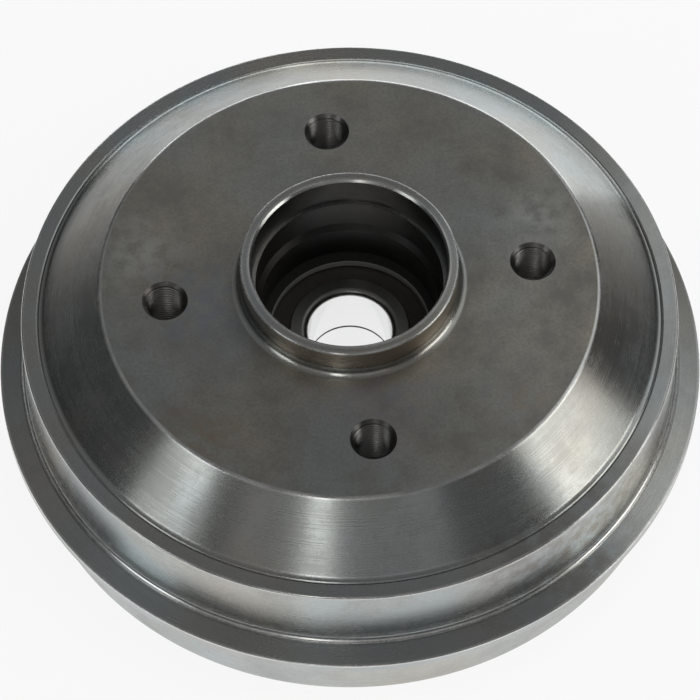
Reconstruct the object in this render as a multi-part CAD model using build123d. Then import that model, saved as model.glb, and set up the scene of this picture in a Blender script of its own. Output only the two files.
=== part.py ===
from build123d import *
import math
import os

# Brake drum with a wheel bearing held in its hub. Millimetres.
# The origin is on the drum's axis, on the face that the wheel seats on.
# +Z points out to the wheel. Depths are measured down from that face.
# Every solid is turned about Z, and the bolt holes lie on X and Y.

# Drum, wheel side
wheel_face_r = 72.9
wheel_face_round = 2.0
shoulder_depth = 15.0
shoulder_r = 96.8
shoulder_round = 0.6
cone_foot_r = 90.8
cone_fillet = 2.8

# Drum, wall and flange
wall_foot_r = 97.0
wall_depth = 38.3
wall_fillet = 1.8
flange_r = 105.0
flange_fall = 2.0
flange_edge = 3.2
flange_break = 0.3
flange_fillet = 1.0
lip_r = 99.2
lip_break = 0.8
drum_depth = 65.5

# Drum, friction track and inside
track_r = 90.0
track_lead_in = 1.0
track_end_depth = 26.0
relief_cut = 1.0
relief_depth = 22.0
relief_fillet = 1.5
shell_thickness = 8.5
web_thickness = 12.0
inside_fillet = 4.0

# Hub boss
boss_root_r = 34.0
boss_end_r = 33.0
boss_end_depth = 64.7
boss_break = 0.8

# Centring collar, which the wheel drops over and a grease cap presses into
collar_r = 31.65
collar_height = 10.0
collar_break = 0.45
collar_fillet = 2.6
cap_bore_r = 28.4
cap_lead_in = 0.6
cap_ledge_depth = 0.3

# Wheel bolt holes, each through a round boss behind the web
bolt_circle_r = 54.0
bolt_count = 4
bolt_hole_r = 6.0
bolt_hole_chamfer = 0.7
bolt_boss_r = 11.5
bolt_boss_depth = 22.0
bolt_boss_fillet = 2.5
bolt_boss_break = 1.0

# Wheel bearing, 25 by 52 by 37, two rows of balls in angular contact
bearing_bore_r = 12.5
bearing_outside_r = 26.0
bearing_width = 37.0
bearing_depth = 25.4
bearing_shoulder_r = 23.5
bearing_shoulder_break = 0.4
entry_bore_r = 27.4
entry_cone_top_depth = 10.2
entry_cone_end_depth = 12.0

# Balls and cages
ball_r = 3.75
ball_circle_r = 19.7
balls_per_row = 13
race_clearance = 0.15
pocket_clearance = 0.15
cage_inner_r = 18.4
cage_outer_r = 21.4
cage_back = 5.0
cage_to_seal = 2.75
cage_grip = 1.6
cage_round = 0.4

# Bearing rings
inner_high_r = 17.75
inner_low_r = 16.6
inner_bore_round = 1.9
inner_joint_break = 0.6
inner_face_break = 0.3
outer_mid_r = 22.0
outer_end_r = 23.2
outer_corner = 0.9
seal_seat_r = 23.6
seal_seat_depth = 2.0

# Seals
seal_thickness = 1.5
seal_lip_fit = 0.1
seal_lip_width = 1.2
seal_lip_step = 0.3
seal_rim_width = 1.0
seal_groove = 0.45
seal_break = 0.15

# Retaining ring, wider opposite its gap
retainer_thickness = 2.0
retainer_groove_width = 2.2
retainer_groove_r = 27.5
retainer_fit = 0.1
retainer_inner_r = 23.6
retainer_offset = 1.25
retainer_gap = 7.0
lug_width = 6.0
lug_reach = 6.4
lug_corner = 1.4
lug_hole_r = 1.25
lug_hole_inset = 2.6

# How far a cutting tool runs past the face that it cuts
overrun = 1.0

# Derived places
bearing_front_z = -bearing_depth
bearing_mid_z = bearing_front_z - bearing_width / 2
bearing_back_z = bearing_front_z - bearing_width
flange_top_z = -wall_depth - flange_fall
flange_low_z = flange_top_z - flange_edge
row_offset = bearing_width / 2 - seal_seat_depth - cage_to_seal - cage_back
race_r = ball_r + race_clearance
pocket_r = ball_r + pocket_clearance

# The inner cone runs parallel to the outer one, one shell thickness inside it
cone_run = cone_foot_r - wheel_face_r
cone_slant = math.hypot(cone_run, shoulder_depth)
inner_cone_r = wheel_face_r - shell_thickness * cone_slant / shoulder_depth


def inner_cone_at(depth):
    """Radius of the inner cone at a depth below the wheel face."""
    return inner_cone_r + depth * cone_run / shoulder_depth


def turned(corners):
    """Turns a closed outline about Z. Each corner is radius, height, rounding."""
    points = [(radius, height) for radius, height, _ in corners]
    roundings = [rounding for _, _, rounding in corners]
    outline = FilletPolyline(*points, radius=roundings, close=True)
    return revolve(Plane.XZ * make_face(outline), axis=Axis.Z)


def collar_corners():
    """From the mouth of the cap bore over the collar to the wheel face."""
    return [
        (cap_bore_r, collar_height - cap_lead_in, 0),
        (cap_bore_r + cap_lead_in, collar_height, 0),
        (collar_r, collar_height, collar_break),
        (collar_r, 0, collar_fillet),
    ]


def outside_corners():
    """From the edge of the wheel face down the outside to the rim."""
    return [
        (wheel_face_r, 0, wheel_face_round),
        (cone_foot_r, -shoulder_depth, cone_fillet),
        (shoulder_r, -shoulder_depth, shoulder_round),
        (wall_foot_r, -wall_depth, wall_fillet),
        (flange_r, flange_top_z, flange_break),
        (flange_r, flange_low_z, flange_break),
        (lip_r, flange_low_z, flange_fillet),
        (lip_r, -drum_depth + lip_break, 0),
        (lip_r - lip_break, -drum_depth, 0),
    ]


def inside_corners():
    """From the rim up the friction track, under the web and down the boss."""
    relief_r = track_r + relief_cut
    return [
        (track_r + track_lead_in, -drum_depth, 0),
        (track_r, -drum_depth + track_lead_in, 0),
        (track_r, -track_end_depth, 0),
        (relief_r, -track_end_depth + relief_cut, 0),
        (relief_r, -relief_depth, relief_fillet),
        (inner_cone_at(relief_depth), -relief_depth, relief_fillet),
        (inner_cone_at(web_thickness), -web_thickness, inside_fillet),
        (boss_root_r, -web_thickness, inside_fillet),
        (boss_end_r, -boss_end_depth, boss_break),
    ]


def hub_bore_corners():
    """From the end of the boss up through the bearing seat to the cap bore."""
    groove_top = bearing_front_z + retainer_thickness
    groove_low = groove_top - retainer_groove_width
    return [
        (bearing_shoulder_r + bearing_shoulder_break, -boss_end_depth, 0),
        (bearing_shoulder_r, -boss_end_depth + bearing_shoulder_break, 0),
        (bearing_shoulder_r, bearing_back_z, 0),
        (bearing_outside_r, bearing_back_z, 0),
        (bearing_outside_r, groove_low, 0),
        (retainer_groove_r, groove_low, 0),
        (retainer_groove_r, groove_top, 0),
        (bearing_outside_r, groove_top, 0),
        (bearing_outside_r, -entry_cone_end_depth, 0),
        (entry_bore_r, -entry_cone_top_depth, 0),
        (entry_bore_r, -cap_ledge_depth, 0),
        (cap_bore_r, -cap_ledge_depth, 0),
    ]


def bolt_boss():
    """The thickening behind one wheel bolt hole, rooted in the web."""
    root_z = bolt_boss_fillet - web_thickness
    flare_r = bolt_boss_r + 2 * bolt_boss_fillet
    return turned([
        (0, root_z, 0),
        (flare_r, root_z, 0),
        (flare_r, -web_thickness, 0),
        (bolt_boss_r, -web_thickness, bolt_boss_fillet),
        (bolt_boss_r, -bolt_boss_depth, bolt_boss_break),
        (0, -bolt_boss_depth, 0),
    ])


def bolt_hole():
    """A tool for one wheel bolt hole, chamfered at both ends."""
    mouth_r = bolt_hole_r + bolt_hole_chamfer
    return turned([
        (0, overrun, 0),
        (mouth_r, overrun, 0),
        (mouth_r, 0, 0),
        (bolt_hole_r, -bolt_hole_chamfer, 0),
        (bolt_hole_r, bolt_hole_chamfer - bolt_boss_depth, 0),
        (mouth_r, -bolt_boss_depth, 0),
        (mouth_r, -bolt_boss_depth - overrun, 0),
        (0, -bolt_boss_depth - overrun, 0),
    ])


def brake_drum():
    """The casting: collar, web, shell, flange, lip and bosses in one piece."""
    corners = collar_corners() + outside_corners() + inside_corners() + hub_bore_corners()
    drum = turned(corners)
    for place in PolarLocations(bolt_circle_r, bolt_count):
        drum += place * bolt_boss()
        drum -= place * bolt_hole()
    return drum


def raceway(row_z):
    """The ring-shaped space that a row of balls runs in."""
    return Pos(0, 0, row_z) * Torus(ball_circle_r, race_r)


def ball_places(row_z):
    """The centres of one row's balls."""
    return Pos(0, 0, row_z) * PolarLocations(ball_circle_r, balls_per_row)


def bearing_outer_ring():
    """One ring with both outer raceways, a middle land and two seal seats."""
    seat_front_z = bearing_front_z - seal_seat_depth
    seat_back_z = bearing_back_z + seal_seat_depth
    ring = turned([
        (bearing_outside_r, bearing_front_z, outer_corner),
        (bearing_outside_r, bearing_back_z, outer_corner),
        (seal_seat_r, bearing_back_z, 0),
        (seal_seat_r, seat_back_z, 0),
        (outer_end_r, seat_back_z, 0),
        (outer_end_r, bearing_mid_z - row_offset, 0),
        (outer_mid_r, bearing_mid_z - row_offset, 0),
        (outer_mid_r, bearing_mid_z + row_offset, 0),
        (outer_end_r, bearing_mid_z + row_offset, 0),
        (outer_end_r, seat_front_z, 0),
        (seal_seat_r, seat_front_z, 0),
        (seal_seat_r, bearing_front_z, 0),
    ])
    for side in (-1, 1):
        ring -= raceway(bearing_mid_z + side * row_offset)
    return ring


def inner_ring(side):
    """One half of the split inner ring. Side 1 is towards the wheel, -1 is behind."""
    face_z = bearing_mid_z + side * bearing_width / 2
    row_z = bearing_mid_z + side * row_offset
    ring = turned([
        (bearing_bore_r, face_z, inner_bore_round),
        (inner_high_r, face_z, inner_face_break),
        (inner_high_r, row_z, 0),
        (inner_low_r, row_z, 0),
        (inner_low_r, bearing_mid_z, inner_joint_break),
        (bearing_bore_r, bearing_mid_z, inner_joint_break),
    ])
    return ring - raceway(row_z)


def balls(side):
    """One row of balls, each a solid of its own."""
    row = ball_places(bearing_mid_z + side * row_offset)
    return Compound(children=[place * Sphere(ball_r) for place in row])


def cage(side):
    """A snap-in cage: a ring behind the balls and a prong between each two."""
    row_z = bearing_mid_z + side * row_offset
    back_z = row_z + side * cage_back
    tip_z = row_z - side * cage_grip
    body = turned([
        (cage_inner_r, back_z, cage_round),
        (cage_outer_r, back_z, cage_round),
        (cage_outer_r, tip_z, cage_round),
        (cage_inner_r, tip_z, cage_round),
    ])
    for place in ball_places(row_z):
        body -= place * Sphere(pocket_r)
    return body


def seal(side):
    """A disc seal pressed into the outer ring, with a lip on the inner ring."""
    seat_z = bearing_mid_z + side * (bearing_width / 2 - seal_seat_depth)
    face_z = seat_z + side * seal_thickness
    groove_z = face_z - side * seal_groove
    lip_r = inner_high_r + seal_lip_fit
    lip_z = face_z - side * seal_lip_step
    return turned([
        (lip_r, seat_z, 0),
        (lip_r, lip_z, seal_break),
        (lip_r + seal_lip_width, lip_z, 0),
        (lip_r + seal_lip_width, groove_z, 0),
        (seal_seat_r - seal_rim_width, groove_z, 0),
        (seal_seat_r - seal_rim_width, face_z, seal_break),
        (seal_seat_r, face_z, seal_break),
        (seal_seat_r, seat_z, 0),
    ])


def retaining_ring():
    """A flat spring ring with two eared ends, its gap turned to -Y."""
    retainer_r = retainer_groove_r - retainer_fit
    lug_place = Pos(0, lug_reach / 2 - retainer_r)
    lug_turn = math.degrees(math.asin((retainer_gap + lug_width) / 2 / retainer_r))
    lug = lug_place * RectangleRounded(lug_width, lug_reach, lug_corner)
    hole = Pos(0, lug_hole_inset - retainer_r + lug_corner) * Circle(lug_hole_r)
    outline = Circle(retainer_r) - Pos(0, -retainer_offset) * Circle(retainer_inner_r)
    outline -= Pos(0, -retainer_r) * Rectangle(retainer_gap, retainer_r)
    for turn in (-lug_turn, lug_turn):
        outline += Rot(0, 0, turn) * lug
        outline -= Rot(0, 0, turn) * hole
    return Pos(0, 0, bearing_front_z) * extrude(outline, retainer_thickness)


nodes = {
    "brake_drum": brake_drum(),
    "bearing_outer_ring": bearing_outer_ring(),
    "inner_ring_front": inner_ring(1),
    "inner_ring_rear": inner_ring(-1),
    "balls_front": balls(1),
    "balls_rear": balls(-1),
    "cage_front": cage(1),
    "cage_rear": cage(-1),
    "seal_front": seal(1),
    "seal_rear": seal(-1),
    "retaining_ring": retaining_ring(),
}

os.makedirs("parts", exist_ok=True)
for name, solid in nodes.items():
    export_step(solid, os.path.join("parts", name + ".step"))
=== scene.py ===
import math

import bmesh
import bpy
from mathutils import Matrix, Vector
from mathutils.geometry import delaunay_2d_cdt


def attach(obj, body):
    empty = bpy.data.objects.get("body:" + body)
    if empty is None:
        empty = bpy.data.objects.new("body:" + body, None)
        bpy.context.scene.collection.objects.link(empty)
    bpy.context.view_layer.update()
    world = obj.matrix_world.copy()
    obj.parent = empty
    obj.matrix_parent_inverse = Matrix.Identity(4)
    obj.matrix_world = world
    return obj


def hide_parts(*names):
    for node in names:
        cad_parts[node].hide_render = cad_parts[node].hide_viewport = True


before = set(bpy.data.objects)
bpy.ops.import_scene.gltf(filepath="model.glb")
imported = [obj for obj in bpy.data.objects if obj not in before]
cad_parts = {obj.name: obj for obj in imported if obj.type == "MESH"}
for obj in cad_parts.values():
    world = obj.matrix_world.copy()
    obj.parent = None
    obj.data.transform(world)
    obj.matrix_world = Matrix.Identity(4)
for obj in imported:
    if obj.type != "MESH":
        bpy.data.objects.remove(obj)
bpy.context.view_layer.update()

MM = 0.001
TURN = 2 * math.pi

# Drum sizes in mm, as in part.py. Depths are measured down from the wheel face.
WHEEL_FACE_R = 72.9
WHEEL_FACE_ROUND = 2.0
SHOULDER_DEPTH = 15.0
SHOULDER_R = 96.8
SHOULDER_ROUND = 0.6
CONE_FOOT_R = 90.8
CONE_FILLET = 2.8
WALL_FOOT_R = 97.0
WALL_DEPTH = 38.3
WALL_FILLET = 1.8
FLANGE_R = 105.0
FLANGE_FALL = 2.0
FLANGE_EDGE = 3.2
FLANGE_BREAK = 0.3
FLANGE_FILLET = 1.0
LIP_R = 99.2
LIP_BREAK = 0.8
DRUM_DEPTH = 65.5
TRACK_R = 90.0
TRACK_LEAD_IN = 1.0
TRACK_END_DEPTH = 26.0
RELIEF_CUT = 1.0
RELIEF_DEPTH = 22.0
RELIEF_FILLET = 1.5
SHELL_THICKNESS = 8.5
WEB_THICKNESS = 12.0
INSIDE_FILLET = 4.0
BOSS_ROOT_R = 34.0
BOSS_END_R = 33.0
BOSS_END_DEPTH = 64.7
BOSS_BREAK = 0.8
COLLAR_R = 31.65
COLLAR_HEIGHT = 10.0
COLLAR_BREAK = 0.45
COLLAR_FILLET = 2.6
CAP_BORE_R = 28.4
CAP_LEAD_IN = 0.6
CAP_LEDGE_DEPTH = 0.3
BOLT_CIRCLE_R = 54.0
BOLT_COUNT = 4
BOLT_HOLE_R = 6.0
BOLT_HOLE_CHAMFER = 0.7
BOLT_BOSS_R = 11.5
BOLT_BOSS_DEPTH = 22.0
BOLT_BOSS_FILLET = 2.5
BOLT_BOSS_BREAK = 1.0
BEARING_OUTSIDE_R = 26.0
BEARING_WIDTH = 37.0
BEARING_DEPTH = 25.4
BEARING_SHOULDER_R = 23.5
BEARING_SHOULDER_BREAK = 0.4
ENTRY_BORE_R = 27.4
ENTRY_CONE_TOP_DEPTH = 10.2
ENTRY_CONE_END_DEPTH = 12.0
RETAINER_THICKNESS = 2.0
RETAINER_GROOVE_WIDTH = 2.2
RETAINER_GROOVE_R = 27.5

# Thread of the wheel bolt holes, in mm. The shares are of one pitch.
THREAD_PITCH = 1.25
THREAD_CREST_R = 5.35
THREAD_CREST_SHARE = 0.16
THREAD_ROOT_SHARE = 0.2

# Fineness of the turned meshes
LATHE_SIDES = 256
ARC_STEPS = 6
THREAD_SIDES = 40
THREAD_ROWS_A_PITCH = 8

# Points in mm that lie closer than this count as one
CLOSE = 1e-4

# Camera, worked out from the drum's circles in the photograph
IMAGE_SIDE = 700
FOCAL_PIXELS = 3530.1
SENSOR_MM = 36.0
CAMERA_ELEVATION = math.radians(57.69)
CAMERA_ROLL = math.radians(-0.32)
BOLT_TURN = math.radians(7.24)
FACE_CENTRE_FROM_CAMERA = Vector((-0.15, -20.1, 1027.5))
CLIP_START_M = 0.01
CLIP_END_M = 50


def link(name, data):
    """A new object in the scene."""
    made = bpy.data.objects.new(name, data)
    bpy.context.collection.objects.link(made)
    return made


def camera_matrix():
    """The camera's place in the row frame, from where the wheel face lies before it."""
    cos_e, sin_e = math.cos(CAMERA_ELEVATION), math.sin(CAMERA_ELEVATION)
    up = Vector((math.sin(CAMERA_ROLL) * cos_e, -math.cos(CAMERA_ROLL) * cos_e, -sin_e))
    right = (Vector((1, 0, 0)) - up * up.x).normalized()
    away = up.cross(right)
    x_axis = right * math.cos(BOLT_TURN) + away * math.sin(BOLT_TURN)
    y_axis = away * math.cos(BOLT_TURN) - right * math.sin(BOLT_TURN)
    to_row = Matrix((x_axis, y_axis, up))
    place = to_row @ (-FACE_CENTRE_FROM_CAMERA * MM)
    axes = to_row @ Matrix.Diagonal((1, -1, -1))
    return Matrix.Translation(place) @ axes.to_4x4()


def add_camera():
    """The photograph's view."""
    data = bpy.data.cameras.new("photo_view")
    data.sensor_width = SENSOR_MM
    data.lens = FOCAL_PIXELS / IMAGE_SIDE * SENSOR_MM
    data.clip_start = CLIP_START_M
    data.clip_end = CLIP_END_M
    camera = link("photo_view", data)
    camera.matrix_world = camera_matrix()
    bpy.context.scene.camera = camera


# Outline of the drum. Each corner is radius, height and rounding in mm, and the solid lies on
# the right of the way round.


def inner_cone_r(depth):
    """Radius of the cone inside the shell at a depth below the wheel face."""
    run = CONE_FOOT_R - WHEEL_FACE_R
    slant = math.hypot(run, SHOULDER_DEPTH)
    return WHEEL_FACE_R - SHELL_THICKNESS * slant / SHOULDER_DEPTH + depth * run / SHOULDER_DEPTH


def collar_corners():
    return [
        (CAP_BORE_R, COLLAR_HEIGHT - CAP_LEAD_IN, 0),
        (CAP_BORE_R + CAP_LEAD_IN, COLLAR_HEIGHT, 0),
        (COLLAR_R, COLLAR_HEIGHT, COLLAR_BREAK),
        (COLLAR_R, 0, COLLAR_FILLET),
    ]


def outside_corners():
    flange_top = -WALL_DEPTH - FLANGE_FALL
    return [
        (WHEEL_FACE_R, 0, WHEEL_FACE_ROUND),
        (CONE_FOOT_R, -SHOULDER_DEPTH, CONE_FILLET),
        (SHOULDER_R, -SHOULDER_DEPTH, SHOULDER_ROUND),
        (WALL_FOOT_R, -WALL_DEPTH, WALL_FILLET),
        (FLANGE_R, flange_top, FLANGE_BREAK),
        (FLANGE_R, flange_top - FLANGE_EDGE, FLANGE_BREAK),
        (LIP_R, flange_top - FLANGE_EDGE, FLANGE_FILLET),
        (LIP_R, -DRUM_DEPTH + LIP_BREAK, 0),
        (LIP_R - LIP_BREAK, -DRUM_DEPTH, 0),
    ]


def inside_corners():
    relief_r = TRACK_R + RELIEF_CUT
    return [
        (TRACK_R + TRACK_LEAD_IN, -DRUM_DEPTH, 0),
        (TRACK_R, -DRUM_DEPTH + TRACK_LEAD_IN, 0),
        (TRACK_R, -TRACK_END_DEPTH, 0),
        (relief_r, -TRACK_END_DEPTH + RELIEF_CUT, 0),
        (relief_r, -RELIEF_DEPTH, RELIEF_FILLET),
        (inner_cone_r(RELIEF_DEPTH), -RELIEF_DEPTH, RELIEF_FILLET),
        (inner_cone_r(WEB_THICKNESS), -WEB_THICKNESS, INSIDE_FILLET),
        (BOSS_ROOT_R, -WEB_THICKNESS, INSIDE_FILLET),
        (BOSS_END_R, -BOSS_END_DEPTH, BOSS_BREAK),
    ]


def hub_bore_corners():
    bearing_back = -BEARING_DEPTH - BEARING_WIDTH
    groove_top = RETAINER_THICKNESS - BEARING_DEPTH
    groove_low = groove_top - RETAINER_GROOVE_WIDTH
    return [
        (BEARING_SHOULDER_R + BEARING_SHOULDER_BREAK, -BOSS_END_DEPTH, 0),
        (BEARING_SHOULDER_R, -BOSS_END_DEPTH + BEARING_SHOULDER_BREAK, 0),
        (BEARING_SHOULDER_R, bearing_back, 0),
        (BEARING_OUTSIDE_R, bearing_back, 0),
        (BEARING_OUTSIDE_R, groove_low, 0),
        (RETAINER_GROOVE_R, groove_low, 0),
        (RETAINER_GROOVE_R, groove_top, 0),
        (BEARING_OUTSIDE_R, groove_top, 0),
        (BEARING_OUTSIDE_R, -ENTRY_CONE_END_DEPTH, 0),
        (ENTRY_BORE_R, -ENTRY_CONE_TOP_DEPTH, 0),
        (ENTRY_BORE_R, -CAP_LEDGE_DEPTH, 0),
        (CAP_BORE_R, -CAP_LEDGE_DEPTH, 0),
    ]


# The drum as a turned mesh. Every ring of points is shared by the bands above and below it,
# and each band keeps the exact normals of its flat, cone or round.

# Material slots of the drum
TURNED, WHEEL_FACE, COLLAR, THREAD, HUB_BORE, TRACK, CAST = range(7)


def left_of(direction):
    return Vector((-direction.y, direction.x))


def outline_stations(corners):
    """Points round a closed outline, each with its corner and the normals before and after it."""
    points = [Vector((radius, height)) for radius, height, _ in corners]
    stations = []
    for i, (_, _, rounding) in enumerate(corners):
        back = (points[i - 1] - points[i]).normalized()
        ahead = (points[(i + 1) % len(points)] - points[i]).normalized()
        before, after = left_of(-back), left_of(ahead)
        if not rounding:
            stations.append((i, points[i], before, after))
            continue
        half = back.angle(ahead) / 2
        centre = points[i] + (back + ahead).normalized() * rounding / math.sin(half)
        outwards = 1 if (centre - points[i]).dot(before) < 0 else -1
        for step in range(ARC_STEPS + 1):
            normal = before.slerp(after, step / ARC_STEPS)
            stations.append((i, centre + normal * rounding * outwards, normal, normal))
    return stations


def turned_ring(bm, point, sides, centre):
    """A full turn of vertices at a radius from an upright axis and at a height."""
    ring = []
    for side in range(sides):
        arm = Vector((math.cos(TURN * side / sides), math.sin(TURN * side / sides))) * point.x
        ring.append(bm.verts.new((centre + arm).to_3d() * MM + Vector((0, 0, point.y * MM))))
    return ring


def bridge(bm, first, second):
    """Quads between two rings."""
    faces = []
    for side in range(len(first)):
        after = (side + 1) % len(first)
        faces.append(bm.faces.new((first[side], second[side], second[after], first[after])))
    return faces


def drilled_flat(bm, outer, inner, mouths, up):
    """A flat between two rings, open at the mouths of the holes. It faces up at 1, down at -1."""
    loops = [outer, inner, *mouths]
    verts, edges, loop_of = [], [], []
    for index, loop in enumerate(loops):
        start = len(verts)
        edges += [(start + i, start + (i + 1) % len(loop)) for i in range(len(loop))]
        verts += loop
        loop_of += [index] * len(loop)
    flat = [vert.co.xy / MM for vert in verts]
    _, _, triangles, sources, _, _ = delaunay_2d_cdt(flat, edges, [], 0, CLOSE)
    faces = []
    for triangle in triangles:
        corners = [sources[i][0] for i in triangle][::up]
        touched = {loop_of[i] for i in corners}
        # A triangle with all its corners on an inner loop lies in that loop's hole.
        if len(touched) > 1 or touched == {0}:
            faces.append(bm.faces.new([verts[i] for i in corners]))
    return faces


def thread_radius(depth, turns):
    """Wall radius of the threaded hole at a depth in mm and an angle in turns."""
    phase = (depth / THREAD_PITCH + turns) % 1
    from_root = abs(phase * 2 - 1)
    flank_share = 1 - THREAD_CREST_SHARE - THREAD_ROOT_SHARE
    rise = min(max((from_root - THREAD_ROOT_SHARE) / flank_share, 0), 1)
    return BOLT_HOLE_R - rise * (BOLT_HOLE_R - THREAD_CREST_R)


def add_thread(bm, centre):
    """The wall of one wheel bolt hole. Returns its rings at the wheel face and at the boss."""
    rows = round(BOLT_BOSS_DEPTH / THREAD_PITCH * THREAD_ROWS_A_PITCH)
    rings = []
    for row in range(rows + 1):
        depth = BOLT_BOSS_DEPTH * row / rows
        mouth_r = BOLT_HOLE_R + BOLT_HOLE_CHAMFER - min(depth, BOLT_BOSS_DEPTH - depth)
        ring = []
        for side in range(THREAD_SIDES):
            turns = side / THREAD_SIDES
            arm = Vector((math.cos(TURN * turns), math.sin(TURN * turns)))
            place = centre + arm * max(thread_radius(depth, turns), mouth_r)
            ring.append(bm.verts.new(Vector((place.x, place.y, -depth)) * MM))
        rings.append(ring)
    for high, low in zip(rings, rings[1:]):
        bridge(bm, low, high)
    return rings[0], rings[-1]


def keep_normals(faces, layer, slot, on_first, first_normal, last_normal, centre):
    """Gives a band its finish and the exact normals of the turned shape at its two rings."""
    for face in faces:
        face.material_index = slot
        for loop in face.loops:
            normal = first_normal if loop.vert in on_first else last_normal
            around = (loop.vert.co.xy - centre * MM).normalized()
            loop[layer] = (normal.x * around.x, normal.x * around.y, normal.y)


def add_boss(bm, layer, centre, mouth):
    """The boss behind one wheel bolt hole. Returns its ring at the web."""
    flare_r = BOLT_BOSS_R + 2 * BOLT_BOSS_FILLET
    stations = outline_stations([
        (0, 0, 0),
        (flare_r, 0, 0),
        (flare_r, -WEB_THICKNESS, 0),
        (BOLT_BOSS_R, -WEB_THICKNESS, BOLT_BOSS_FILLET),
        (BOLT_BOSS_R, -BOLT_BOSS_DEPTH, BOLT_BOSS_BREAK),
        (0, -BOLT_BOSS_DEPTH, 0),
    ])
    shown = [(point, before, after) for _, point, before, after in stations
             if after.y < CLOSE and 0 < point.x < flare_r]
    rings = [turned_ring(bm, point, THREAD_SIDES, centre) for point, _, _ in shown]
    for i, low in enumerate([*rings[1:], mouth]):
        _, _, normal = shown[i]
        next_normal = shown[i + 1][1] if i + 1 < len(shown) else normal
        faces = bridge(bm, rings[i], low)
        keep_normals(faces, layer, CAST, set(rings[i]), normal, next_normal, centre)
    return rings[0]


def band_slot(first, last, inside):
    """Which finish a band of the drum has, from where it lies."""
    low_r, high_r = sorted((first.x, last.x))
    # The cap's ledge is as bright as the outside.
    if abs(first.y + CAP_LEDGE_DEPTH) < CLOSE and abs(last.y + CAP_LEDGE_DEPTH) < CLOSE:
        return TURNED
    if high_r < CAP_BORE_R + CLOSE:
        return HUB_BORE
    if abs(low_r - COLLAR_R) < CLOSE and abs(high_r - COLLAR_R) < CLOSE:
        return COLLAR
    if inside:
        return TRACK if low_r >= TRACK_R else CAST
    return WHEEL_FACE if low_r < BOLT_CIRCLE_R < high_r else TURNED


def drum_mesh():
    """The whole casting as one closed mesh that keeps its own normals."""
    bm = bmesh.new()
    layer = bm.loops.layers.float_vector.new("kept_normal")
    angles = [TURN * hole / BOLT_COUNT for hole in range(BOLT_COUNT)]
    centres = [Vector((math.cos(angle), math.sin(angle))) * BOLT_CIRCLE_R for angle in angles]
    mouths = [add_thread(bm, centre) for centre in centres]
    bm.normal_update()
    for face in bm.faces:
        face.material_index = THREAD
        for loop in face.loops:
            loop[layer] = loop.vert.normal
    roots = [add_boss(bm, layer, centre, mouth[1]) for centre, mouth in zip(centres, mouths)]
    outer_corners = collar_corners() + outside_corners()
    stations = outline_stations(outer_corners + inside_corners() + hub_bore_corners())
    middle = Vector((0, 0))
    rings = [turned_ring(bm, point, LATHE_SIDES, middle) for _, point, _, _ in stations]
    for i, (corner, first, _, first_normal) in enumerate(stations):
        after = (i + 1) % len(stations)
        _, last, last_normal, _ = stations[after]
        if min(first.x, last.x) < BOLT_CIRCLE_R < max(first.x, last.x):
            up = round(first_normal.y)
            outer, inner = sorted((i, after), key=lambda k: -stations[k][1].x)
            holes = roots if up < 0 else [mouth[0] for mouth in mouths]
            faces = drilled_flat(bm, rings[outer], rings[inner], holes, up)
        else:
            faces = bridge(bm, rings[i], rings[after])
        slot = band_slot(first, last, corner >= len(outer_corners))
        keep_normals(faces, layer, slot, set(rings[i]), first_normal, last_normal, middle)
    normals = [Vector(loop[layer]) for face in bm.faces for loop in face.loops]
    bm.loops.layers.float_vector.remove(layer)
    mesh = bpy.data.meshes.new("turned_drum")
    bm.to_mesh(mesh)
    bm.free()
    mesh.shade_smooth()
    mesh.normals_split_custom_set(normals)
    return mesh


# Materials. Tones are linear colours. A noise's scale is in cells per metre, and its range is the
# part of its 0 to 1 that is used.

NOISE_RANGE = 0.3, 0.7

# Machined iron: the noises in its tone and its roughness, and the turn of its anisotropy
FINE_SCALE = 3000.0
COARSE_SCALE = 500.0
COARSE_RANGE = 0.35, 0.65
BLOTCH_SCALE = 45.0
BLOTCH_RANGE = 0.42, 0.64
SPECK_SCALE = 1100.0
SPECK_RANGE = 0.4, 0.65
WARM_SCALE = 20.0
WARM_RANGE = 0.38, 0.62
NOISE_ROUGHNESS = 0.7
DULL_RANGE = 0.4, 0.65
DULLING = 0.07
QUARTER_TURN = 0.25

# Rings left by the tool: how far they wander, and how high they stand, in m
WANDER_SCALE = 25.0
WANDER = 0.0006
RING_HEIGHT = 0.00002
COARSE_SHARE = 2.0

# Edges along which a highlight is painted, as radius and height in mm, how it fades away from
# them in m, its patches and its tone
HIGHLIGHT_EDGES = (
    (WHEEL_FACE_R, 0),
    (SHOULDER_R, -SHOULDER_DEPTH),
    (WALL_FOOT_R + 1.1, -WALL_DEPTH - 0.2),
    (FLANGE_R, -WALL_DEPTH - FLANGE_FALL),
    (LIP_R, -DRUM_DEPTH),
    (COLLAR_R, COLLAR_HEIGHT),
    (CAP_BORE_R + CAP_LEAD_IN, COLLAR_HEIGHT),
)
HIGHLIGHT_WIDTHS = 0.0009, 0.0003
HIGHLIGHT_PATCH_SCALE = 90.0
HIGHLIGHT_PATCH_RANGE = 0.35, 0.6
LEAST_HIGHLIGHT = 0.4
HIGHLIGHT_TONE = 0.86, 0.86, 0.84

# Where cuts meet, as radius and height in mm, and half a line's width and its depth in m
TOOL_LINES = (CONE_FOOT_R + 1.2, -SHOULDER_DEPTH), (WALL_FOOT_R + 1.5, -WALL_DEPTH - 0.4)
LINE_WIDTH = 0.00045
LINE_DEPTH = 0.00025
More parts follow.
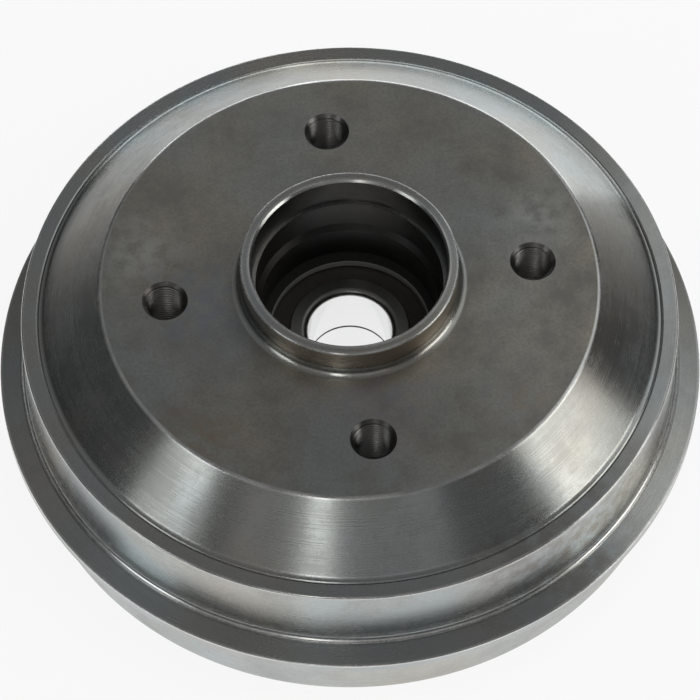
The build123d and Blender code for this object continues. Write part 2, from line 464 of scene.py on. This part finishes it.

# Marks of handling and patches of painted sheen: azimuth in the photograph, radius, height and
# reach in mm, tone, strength
WALL_MARKS = (
    (-60, 96, -24, 22, (0.22, 0.17, 0.13), 0.55),
    (-46, 97, -29, 24, (0.26, 0.19, 0.14), 0.7),
    (-36, 97, -26, 18, (0.22, 0.17, 0.13), 0.5),
)
FACE_MARKS_AND_SHEEN = (
    (171, 62, 0, 18, (0.68, 0.68, 0.64), 0.8),
    (22, 60, 0, 15, (0.68, 0.68, 0.63), 0.7),
    # The next two are painted bluish sheen near the collar, not marks of handling.
    (-170, 45, 0, 24, (0.34, 0.37, 0.42), 0.8),
    (-80, 42, 0, 22, (0.40, 0.40, 0.47), 0.7),
    (-128, 66, 0, 18, (0.42, 0.32, 0.24), 0.7),
    (-40, 66, 0, 16, (0.46, 0.37, 0.28), 0.5),
)
MARK_SCALE = 220.0
MARK_RANGE = 0.4, 0.6

# Scratches: their directions in radians, their stretch and their noise, and the noise that says
# where they are
SCRATCH_ANGLES = 0.5, -1.1
SCRATCH_STRETCH = 1, 40, 1
SCRATCH_SCALE = 60.0
SCRATCH_RANGE = 0.66, 0.72
SCRATCHED_SCALE = 30.0
SCRATCHED_RANGE = 0.5, 0.62

# Radii in m between which the bearing's bright bore turns into its dull sides
BRIGHT_BORE = 0.01251, 0.01257
SIDE_DULLING = 0.18

# The retaining ring's hole, how far it sits off the axis, and the width of the highlight painted
# along its inner edge, in mm
RETAINER_INNER_R = 23.6
RETAINER_OFFSET = 1.25
RETAINER_GLINT_WIDTH = 0.35
GLINT_TONE = 0.5, 0.5, 0.49


def new_material(name):
    """A material, its node tree and its shader."""
    material = bpy.data.materials.new(name)
    material.use_nodes = True
    tree = material.node_tree
    shader = next(n for n in tree.nodes if n.type == "BSDF_PRINCIPLED")
    return material, tree, shader


def node(tree, kind, inputs=None, **settings):
    """A node with its settings, and its inputs set or linked by socket name."""
    made = tree.nodes.new("ShaderNode" + kind)
    for key, value in settings.items():
        setattr(made, key, value)
    for key, value in (inputs or {}).items():
        if isinstance(value, bpy.types.NodeSocket):
            tree.links.new(value, made.inputs[key])
        else:
            made.inputs[key].default_value = value
    return made


def maths(tree, operation, first, second=0.0):
    made = node(tree, "Math", {0: first, 1: second}, operation=operation)
    return made.outputs[0]


def ranged(tree, value, low, high, to_low=0.0, to_high=1.0):
    """value mapped from low..high to to_low..to_high, kept inside."""
    made = node(tree, "MapRange", {"Value": value, "From Min": low, "From Max": high,
                                   "To Min": to_low, "To Max": to_high})
    return made.outputs["Result"]


def mixed(tree, share, first, second):
    """Colour between first and second."""
    made = node(tree, "Mix", {"Factor": share}, data_type="RGBA")
    for socket, value in ((made.inputs[6], first), (made.inputs[7], second)):
        if isinstance(value, bpy.types.NodeSocket):
            tree.links.new(value, socket)
        else:
            socket.default_value = (*value, 1)
    return made.outputs[2]


def noise(tree, place, scale, detail=2.0, **inputs):
    settings = {"Vector": place, "Scale": scale, "Detail": detail, **inputs}
    return node(tree, "TexNoise", settings).outputs["Fac"]


def distance_from(tree, place, spot):
    """The distance in m from a spot."""
    made = node(tree, "VectorMath", {0: place, 1: spot}, operation="DISTANCE")
    return made.outputs["Value"]


def length_of(tree, *sides):
    """The length in m of the slant over two sides at right angles."""
    squares = [maths(tree, "MULTIPLY", side, side) for side in sides]
    return maths(tree, "SQRT", maths(tree, "ADD", *squares))


def object_place(tree):
    """Object coordinates in metres."""
    return node(tree, "TexCoord").outputs["Object"]


def turned_place(tree):
    """Object coordinates in metres, and the radius and height there."""
    place = object_place(tree)
    x, y, z = node(tree, "SeparateXYZ", {0: place}).outputs
    return place, length_of(tree, x, y), z


def tool_marks(tree, place, radius, z, scale):
    """Noise that hardly changes along a turn, so it reads as rings left by the tool."""
    wander = maths(tree, "MULTIPLY", noise(tree, place, WANDER_SCALE, detail=1.0), WANDER)
    across = maths(tree, "ADD", radius, wander)
    rings = node(tree, "CombineXYZ", {0: across, 1: z}).outputs[0]
    return noise(tree, rings, scale, detail=3.0, Roughness=NOISE_ROUGHNESS)


def away_from(tree, radius, z, ring):
    """The distance in m from a ring round the drum's axis, its radius and height in mm."""
    ring_r, ring_z = ring
    across = maths(tree, "SUBTRACT", radius, ring_r * MM)
    along = maths(tree, "SUBTRACT", z, ring_z * MM)
    return length_of(tree, across, along)


def near_rings(tree, radius, z, rings, widths):
    """0 to 1 over the two widths towards the nearest of some rings."""
    share = 0.0
    for ring in rings:
        near = ranged(tree, away_from(tree, radius, z, ring), *widths)
        share = maths(tree, "MAXIMUM", near, share)
    return share


def edge_highlights(tree, place, radius, z, tone):
    """Painted highlight: lighter metal along the drum's edges, broken into patches."""
    highlight_noise = noise(tree, place, HIGHLIGHT_PATCH_SCALE, detail=3.0)
    patches = ranged(tree, highlight_noise, *HIGHLIGHT_PATCH_RANGE, LEAST_HIGHLIGHT, 1.0)
    share = near_rings(tree, radius, z, HIGHLIGHT_EDGES, HIGHLIGHT_WIDTHS)
    return mixed(tree, maths(tree, "MULTIPLY", share, patches), tone, HIGHLIGHT_TONE)


def tool_lines(tree, radius, z, normal):
    """Fine grooves where one cut of the tool ran into the next."""
    depth = near_rings(tree, radius, z, TOOL_LINES, (LINE_WIDTH, 0.0))
    groove = {"Height": depth, "Strength": 1.0, "Distance": LINE_DEPTH, "Normal": normal}
    return node(tree, "Bump", groove, invert=True).outputs[0]


def smudge_and_sheen(tree, place, tone, mark):
    """A mark left by handling, and also a patch of painted sheen, each strongest at one spot and
    broken up by noise.
    """
    azimuth, radius, height, reach, mark_tone, strength = mark
    around = math.radians(azimuth) - BOLT_TURN
    spot = (math.cos(around) * radius * MM, math.sin(around) * radius * MM, height * MM)
    near = ranged(tree, distance_from(tree, place, spot), reach * MM, 0.0, 0.0, strength)
    broken = ranged(tree, noise(tree, place, MARK_SCALE, detail=4.0), *MARK_RANGE)
    return mixed(tree, maths(tree, "MULTIPLY", near, broken), tone, mark_tone)


def scratches(tree, place, angle):
    """Fine straight lines in one direction, here and there."""
    turned = {"Vector": place, "Rotation": (0, 0, angle), "Scale": SCRATCH_STRETCH}
    along = node(tree, "Mapping", turned).outputs[0]
    lines = ranged(tree, noise(tree, along, SCRATCH_SCALE), *SCRATCH_RANGE)
    here = ranged(tree, noise(tree, place, SCRATCHED_SCALE), *SCRATCHED_RANGE)
    return maths(tree, "MULTIPLY", lines, here)


def iron(name, tones, roughness, anisotropy, bump, ring_share, blotch_share, marks=(),
         scratch_share=0.0):
    """Bare grey iron with rings left by the tool, painted edge highlights, handling marks and
    painted sheen.

    The tones are a cool and a warm one in wide patches, a dark one in blotches and specks, and a
    light one in rings and scratches.
    """
    material, tree, shader = new_material(name)
    place, radius, z = turned_place(tree)
    fine = tool_marks(tree, place, radius, z, FINE_SCALE)
    coarse = tool_marks(tree, place, radius, z, COARSE_SCALE)
    blotch = noise(tree, place, BLOTCH_SCALE, detail=6.0, Roughness=NOISE_ROUGHNESS)
    speck = noise(tree, place, SPECK_SCALE)
    warm = noise(tree, place, WARM_SCALE)
    cool_tone, warm_tone, dark_tone, light_tone = tones
    tone = mixed(tree, ranged(tree, warm, *WARM_RANGE), cool_tone, warm_tone)
    tone = mixed(tree, ranged(tree, blotch, *BLOTCH_RANGE, 0.0, blotch_share), tone, dark_tone)
    tone = mixed(tree, ranged(tree, coarse, *COARSE_RANGE, 0.0, ring_share), tone, light_tone)
    tone = mixed(tree, ranged(tree, speck, *SPECK_RANGE, 0.0, blotch_share / 2), tone, dark_tone)
    for angle in SCRATCH_ANGLES:
        share = maths(tree, "MULTIPLY", scratches(tree, place, angle), scratch_share)
        tone = mixed(tree, share, tone, light_tone)
    for mark in marks:
        tone = smudge_and_sheen(tree, place, tone, mark)
    # Painted highlight lines along the drum's edges.
    tone = edge_highlights(tree, place, radius, z, tone)
    tree.links.new(tone, shader.inputs["Base Color"])
    rough = ranged(tree, fine, *NOISE_RANGE, *roughness)
    dulled = ranged(tree, blotch, *DULL_RANGE, 0.0, DULLING)
    tree.links.new(maths(tree, "ADD", rough, dulled), shader.inputs["Roughness"])
    shader.inputs["Metallic"].default_value = 1.0
    shader.inputs["Anisotropic"].default_value = anisotropy
    shader.inputs["Anisotropic Rotation"].default_value = QUARTER_TURN
    tangent = node(tree, "Tangent", direction_type="RADIAL", axis="Z")
    tree.links.new(tangent.outputs[0], shader.inputs["Tangent"])
    height = maths(tree, "ADD", fine, maths(tree, "MULTIPLY", coarse, COARSE_SHARE))
    relief = node(tree, "Bump", {"Height": height, "Strength": bump, "Distance": RING_HEIGHT})
    normal = tool_lines(tree, radius, z, relief.outputs[0])
    tree.links.new(normal, shader.inputs["Normal"])
    return material


def turned_iron():
    """The fine-turned outside of the drum."""
    tones = (0.47, 0.51, 0.515), (0.53, 0.505, 0.455), (0.40, 0.395, 0.375), (0.60, 0.61, 0.60)
    return iron("turned_iron_finish", tones, roughness=(0.19, 0.27), anisotropy=0.75, bump=0.05,
                ring_share=0.12, blotch_share=0.45, marks=WALL_MARKS)


def faced_iron():
    """The wheel face, duller, scratched and blotched by handling, with painted bluish sheen near
    the collar.
    """
    tones = (0.44, 0.465, 0.465), (0.52, 0.48, 0.41), (0.30, 0.29, 0.265), (0.57, 0.57, 0.54)
    return iron("faced_iron_finish", tones, roughness=(0.34, 0.44), anisotropy=0.4, bump=0.06,
                ring_share=0.08, blotch_share=0.8, marks=FACE_MARKS_AND_SHEEN, scratch_share=0.4)


def collar_iron():
    """The collar's wall, browned by the wheel's bore and its first film of rust."""
    tones = (0.39, 0.37, 0.335), (0.45, 0.38, 0.30), (0.24, 0.20, 0.17), (0.52, 0.49, 0.43)
    return iron("collar_iron_finish", tones, roughness=(0.22, 0.3), anisotropy=0.6, bump=0.07,
                ring_share=0.2, blotch_share=0.5)


def thread_iron_painted_shade():
    """The cut threads of the wheel bolt holes, their dark tones painted shade inside the holes."""
    # The dark tones are painted shade inside the bolt holes.
    tones = (0.17, 0.17, 0.17), (0.19, 0.18, 0.165), (0.11, 0.105, 0.10), (0.26, 0.255, 0.25)
    return iron("thread_painted_shade_finish", tones, roughness=(0.26, 0.36), anisotropy=0.3, bump=0.05,
                ring_share=0.2, blotch_share=0.4)


def bore_iron_painted_shade():
    """The smooth bore of the hub, its dark tones painted shade of the deep bore."""
    # The dark tones are painted shade inside the deep bore.
    tones = (0.085, 0.085, 0.085), (0.095, 0.088, 0.08), (0.06, 0.055, 0.05), (0.13, 0.125, 0.12)
    return iron("bore_painted_shade_finish", tones, roughness=(0.32, 0.42), anisotropy=0.3, bump=0.05,
                ring_share=0.2, blotch_share=0.4)


def track_iron():
    """The friction track and its relief, turned and still unworn."""
    tones = (0.46, 0.47, 0.465), (0.48, 0.47, 0.445), (0.38, 0.365, 0.34), (0.54, 0.54, 0.53)
    return iron("track_iron_finish", tones, roughness=(0.3, 0.4), anisotropy=0.6, bump=0.15,
                ring_share=0.25, blotch_share=0.4)


def cast_iron():
    """The cast skin under the web."""
    material, tree, shader = new_material("cast_iron_finish")
    place = object_place(tree)
    grain = noise(tree, place, scale=900.0, detail=4.0)
    blotch = noise(tree, place, scale=60.0, detail=3.0)
    dark, light = (0.16, 0.155, 0.15), (0.24, 0.23, 0.215)
    tone = mixed(tree, ranged(tree, blotch, *NOISE_RANGE), dark, light)
    rough = ranged(tree, grain, *NOISE_RANGE, to_low=0.5, to_high=0.65)
    relief = node(tree, "Bump", {"Height": grain, "Strength": 0.5, "Distance": 0.0002})
    tree.links.new(tone, shader.inputs["Base Color"])
    tree.links.new(rough, shader.inputs["Roughness"])
    tree.links.new(relief.outputs[0], shader.inputs["Normal"])
    shader.inputs["Metallic"].default_value = 0.85
    return material


def ground_steel():
    """Hardened bearing steel: a bright ground bore, and darker sides that time has dulled."""
    material, tree, shader = new_material("ground_steel_finish")
    place, radius, z = turned_place(tree)
    fine = tool_marks(tree, place, radius, z, scale=4000.0)
    bore_tones = (0.90, 0.905, 0.91), (0.94, 0.94, 0.935)
    bore = mixed(tree, ranged(tree, fine, *NOISE_RANGE), *bore_tones)
    side_tones = (0.22, 0.22, 0.21), (0.33, 0.325, 0.31)
    side = mixed(tree, noise(tree, place, scale=300.0, detail=3.0), *side_tones)
    beside = ranged(tree, radius, *BRIGHT_BORE)
    rough = ranged(tree, fine, *NOISE_RANGE, to_low=0.12, to_high=0.18)
    dulled = maths(tree, "MULTIPLY", beside, SIDE_DULLING)
    tree.links.new(mixed(tree, beside, bore, side), shader.inputs["Base Color"])
    tree.links.new(maths(tree, "ADD", rough, dulled), shader.inputs["Roughness"])
    shader.inputs["Metallic"].default_value = 1.0
    return material


def mottled(tree, shader, scale, dark, light, roughness, metallic=0.0, detail=4.0):
    """Gives a shader a finish that one noise varies. Returns its tone."""
    mottle = noise(tree, object_place(tree), scale, detail)
    tone = mixed(tree, mottle, dark, light)
    tree.links.new(tone, shader.inputs["Base Color"])
    tree.links.new(ranged(tree, mottle, *NOISE_RANGE, *roughness), shader.inputs["Roughness"])
    shader.inputs["Metallic"].default_value = metallic
    return tone


def spring_steel():
    """The blackened retaining ring, with a highlight painted along its inner edge."""
    material, tree, shader = new_material("spring_steel_finish")
    tone = mottled(tree, shader, scale=900.0, dark=(0.02, 0.02, 0.02),
                   light=(0.05, 0.049, 0.046), roughness=(0.3, 0.45), metallic=0.8)
    flat = node(tree, "VectorMath", {0: object_place(tree), 1: (1, 1, 0)}, operation="MULTIPLY")
    away = distance_from(tree, flat.outputs["Vector"], (0, -RETAINER_OFFSET * MM, 0))
    # Painted highlight: a lighter band along the ring's inner edge stands for its glint.
    glint_end = RETAINER_INNER_R + RETAINER_GLINT_WIDTH
    painted_glint = ranged(tree, away, RETAINER_INNER_R * MM, glint_end * MM, 1.0, 0.0)
    tree.links.new(mixed(tree, painted_glint, tone, GLINT_TONE), shader.inputs["Base Color"])
    return material


def polished_steel():
    """Bearing balls."""
    material, tree, shader = new_material("polished_steel_finish")
    mottled(tree, shader, scale=600.0, dark=(0.70, 0.70, 0.70), light=(0.78, 0.78, 0.78),
            roughness=(0.04, 0.09), metallic=1.0, detail=2.0)
    return material


def cage_nylon():
    """Moulded bearing cages."""
    material, tree, shader = new_material("cage_nylon_finish")
    mottled(tree, shader, scale=400.0, dark=(0.55, 0.47, 0.30), light=(0.66, 0.58, 0.40),
            roughness=(0.4, 0.55))
    return material


def seal_rubber():
    """Moulded bearing seals."""
    material, tree, shader = new_material("seal_rubber_finish")
    mottled(tree, shader, scale=300.0, dark=(0.008, 0.007, 0.006), light=(0.018, 0.015, 0.013),
            roughness=(0.4, 0.55))
    return material


def paint(names, material):
    """Gives CAD nodes a finish."""
    for name in names:
        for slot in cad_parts[name].material_slots:
            slot.material = material


# The stage

# The floor in m: its half side, the centre of its glow, and where that fades, as two radii
FLOOR_REACH = 3.0
POOL_CENTRE = 0.03, 0.07, -DRUM_DEPTH * MM
POOL_EDGES = 0.22, 0.34

# The floor's finish, its glow, and the glow's share of what is seen, at the centre and far away
FLOOR_TONE = 0.88, 0.88, 0.88, 1
FLOOR_ROUGHNESS = 0.9
GLOW_TONE = 0.98, 0.98, 0.98, 1
GLOW_SHARES = 0.9, 0.05

# The world's light: height of the direction, from the horizon at 0 to overhead at 1, and level.
# The two ends come first.
STUDIO_LEVELS = (0.0, 0.015), (1.0, 0.14), (0.3, 0.025), (0.85, 0.18)

# Softboxes: name, azimuth and elevation in degrees, distance, width and height in m, radiance,
# tint. Azimuth 0 is the photograph's right, 90 its far side.
WHITE = 1, 1, 1
WARM = 1.0, 0.99, 0.95
COOL = 0.95, 0.99, 1.0
SOFTBOXES = (
    ("key_box", -9, 30, 1.0, 0.5, 0.35, 2.5, WARM),
    ("front_box", -101, 46, 1.0, 0.1, 0.34, 3.3, WARM),
    ("front_fill", -93, 43, 1.1, 1.2, 0.35, 0.22, WHITE),
    ("left_box", -150, 36, 1.0, 0.28, 0.3, 2.0, COOL),
    ("back_right_box", 42, 50, 0.8, 0.6, 0.35, 0.5, COOL),
    ("back_box", 74, 4.6, 0.5, 0.44, 0.2, 1.5, COOL),
    ("back_left_box", 108, 16, 0.6, 0.28, 0.13, 2.0, COOL),
)

# A softbox that metal doesn't mirror
MATT_FILL = "matt_fill", -60, 70, 1.5, 1.5, 1.5, 2.0, WHITE


def pale_floor():
    """A white floor that metal mirrors as white, and that still takes the shadow."""
    material, tree, shader = new_material("pale_floor")
    shader.inputs["Base Color"].default_value = FLOOR_TONE
    shader.inputs["Roughness"].default_value = FLOOR_ROUGHNESS
    seen = node(tree, "LightPath")
    direct = 0.0
    for kind in ("Is Camera Ray", "Is Glossy Ray", "Is Transmission Ray"):
        direct = maths(tree, "MAXIMUM", seen.outputs[kind], direct)
    glow = node(tree, "Emission", {"Color": GLOW_TONE, "Strength": 1.0})
    away = distance_from(tree, object_place(tree), POOL_CENTRE)
    pool = ranged(tree, away, *POOL_EDGES, *GLOW_SHARES)
    both = node(tree, "MixShader", {0: maths(tree, "MULTIPLY", direct, pool)})
    tree.links.new(shader.outputs[0], both.inputs[1])
    tree.links.new(glow.outputs[0], both.inputs[2])
    end = next(n for n in tree.nodes if n.type == "OUTPUT_MATERIAL")
    tree.links.new(both.outputs[0], end.inputs["Surface"])
    return material


def add_floor():
    mesh = bpy.data.meshes.new("floor")
    z = -DRUM_DEPTH * MM
    signs = (-1, -1), (1, -1), (1, 1), (-1, 1)
    corners = [(x * FLOOR_REACH, y * FLOOR_REACH, z) for x, y in signs]
    mesh.from_pydata(corners, [], [(0, 1, 2, 3)])
    mesh.materials.append(pale_floor())
    link("floor", mesh)


def add_softbox(name, azimuth, elevation, distance, width, height, radiance, tint):
    """An area lamp that looks at the drum."""
    data = bpy.data.lights.new(name, "AREA")
    data.shape = "RECTANGLE"
    data.size, data.size_y = width, height
    data.energy = radiance * width * height * math.pi
    data.color = tint
    lamp = link(name, data)
    around = math.radians(azimuth) - BOLT_TURN
    up = math.radians(elevation)
    away = Vector((math.cos(around) * math.cos(up), math.sin(around) * math.cos(up), math.sin(up)))
    lamp.location = away * distance
    lamp.rotation_euler = away.to_track_quat("Z", "Y").to_euler()
    return lamp


def add_world():
    """A dim studio, lighter overhead."""
    world = bpy.data.worlds.new("studio")
    bpy.context.scene.world = world
    world.use_nodes = True
    tree = world.node_tree
    background = next(n for n in tree.nodes if n.type == "BACKGROUND")
    direction = node(tree, "TexCoord").outputs["Generated"]
    z = node(tree, "SeparateXYZ", {0: direction}).outputs[2]
    ramp = node(tree, "ValToRGB", {"Fac": ranged(tree, z, 0.0, 1.0)})
    stops = ramp.color_ramp.elements
    for i, (place, level) in enumerate(STUDIO_LEVELS):
        stop = stops[i] if i < len(stops) else stops.new(place)
        stop.position, stop.color = place, (level, level, level, 1)
    tree.links.new(ramp.outputs["Color"], background.inputs["Color"])


add_camera()
add_world()
add_floor()
for softbox in SOFTBOXES:
    add_softbox(*softbox)
add_softbox(*MATT_FILL).visible_glossy = False

drum = link("drum_casting", drum_mesh())
for finish in (turned_iron(), faced_iron(), collar_iron(), thread_iron_painted_shade(), bore_iron_painted_shade(),
               track_iron(), cast_iron()):
    drum.data.materials.append(finish)
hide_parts("brake_drum")
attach(drum, "drum")

paint(["bearing_outer_ring", "inner_ring_front", "inner_ring_rear"], ground_steel())
paint(["balls_front", "balls_rear"], polished_steel())
paint(["cage_front", "cage_rear"], cage_nylon())
paint(["seal_front", "seal_rear"], seal_rubber())
paint(["retaining_ring"], spring_steel())

bpy.context.scene.view_settings.view_transform = "Standard"
